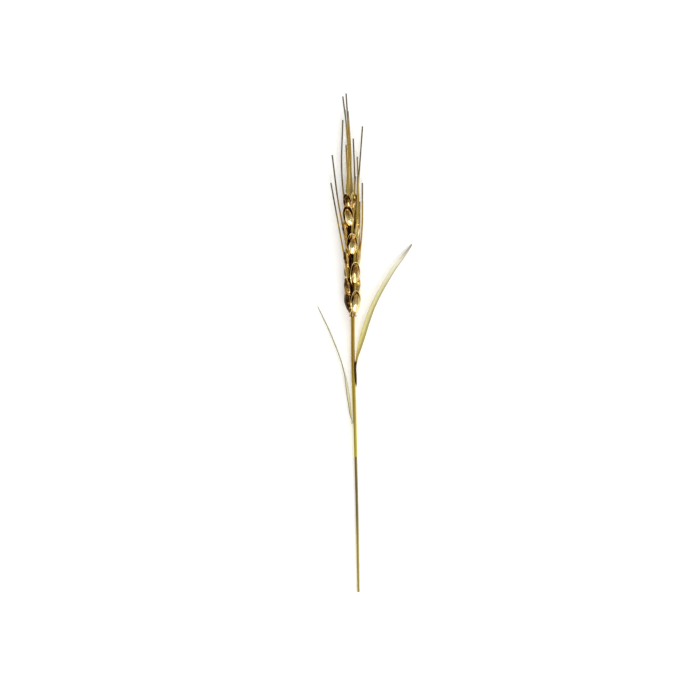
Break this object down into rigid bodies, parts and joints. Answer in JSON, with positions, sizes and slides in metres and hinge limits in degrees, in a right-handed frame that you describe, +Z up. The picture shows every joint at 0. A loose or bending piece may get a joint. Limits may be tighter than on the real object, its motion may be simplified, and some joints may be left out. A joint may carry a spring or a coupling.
{
  "type": "decorative metal wheat stalk with its ear",
  "caption": "Polished brass wheat stalk lying flat: round stem, sheath, long curved leaves and a bearded ear of cupped husks with kernels.",
  "frame": {"origin": "middle of the object's box, on the surface that it lies on", "axes": "+Y along the stalk from the cut end to the awn tips, +Z up, +X to the side of the broad leaf"},
  "size_m": [0.0764, 0.4006, 0.0139],
  "materials": {
    "stem_brass": "polished, with faint draw lines along the rod",
    "sheath_brass": "polished golden tube",
    "leaf_brass": "pale satin sheet with fine veins",
    "ear_brass": "bright polish, darker in the cups of the husks"
  },
  "bodies": {
    "root": {"stem": "stem_brass", "sheath": "sheath_brass", "leaf_right": "leaf_brass", "leaf_left": "leaf_brass", "ear": "ear_brass"}
  },
  "joints": []
}
